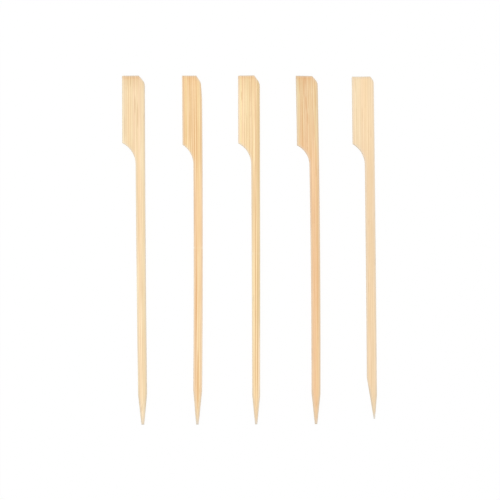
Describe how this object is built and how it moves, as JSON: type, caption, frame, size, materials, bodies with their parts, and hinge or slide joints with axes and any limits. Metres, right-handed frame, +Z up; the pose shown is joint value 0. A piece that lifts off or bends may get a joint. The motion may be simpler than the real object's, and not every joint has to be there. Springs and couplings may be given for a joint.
{
  "type": "bamboo paddle pick set",
  "caption": "Flat bamboo picks for finger food, each with a paddle head, a slim stem and a ground point, laid side by side.",
  "frame": {"origin": "on the table under the middle of the row's outline", "axes": "+X along the row, +Y from the points to the heads, +Z up through the thickness"},
  "size_m": [0.1094, 0.1502, 0.003],
  "materials": {
    "cream_bamboo": "bare, sanded",
    "honey_bamboo": "bare, sanded",
    "straw_bamboo": "bare, sanded",
    "tan_bamboo": "bare, sanded",
    "ivory_bamboo": "bare, sanded"
  },
  "bodies": {
    "pick_1": {"pick_1": "cream_bamboo"},
    "pick_2": {"pick_2": "honey_bamboo"},
    "pick_3": {"pick_3": "straw_bamboo"},
    "pick_4": {"pick_4": "tan_bamboo"},
    "pick_5": {"pick_5": "ivory_bamboo"}
  },
  "joints": [
    {"name": "pick_1_lift", "type": "slide", "parent": "pick_3", "child": "pick_1", "axis": [0, 0, 1], "range_m": [0, 0.03]},
    {"name": "pick_2_lift", "type": "slide", "parent": "pick_3", "child": "pick_2", "axis": [0, 0, 1], "range_m": [0, 0.03]},
    {"name": "pick_4_lift", "type": "slide", "parent": "pick_3", "child": "pick_4", "axis": [0, 0, 1], "range_m": [0, 0.03]},
    {"name": "pick_5_lift", "type": "slide", "parent": "pick_3", "child": "pick_5", "axis": [0, 0, 1], "range_m": [0, 0.03]}
  ]
}
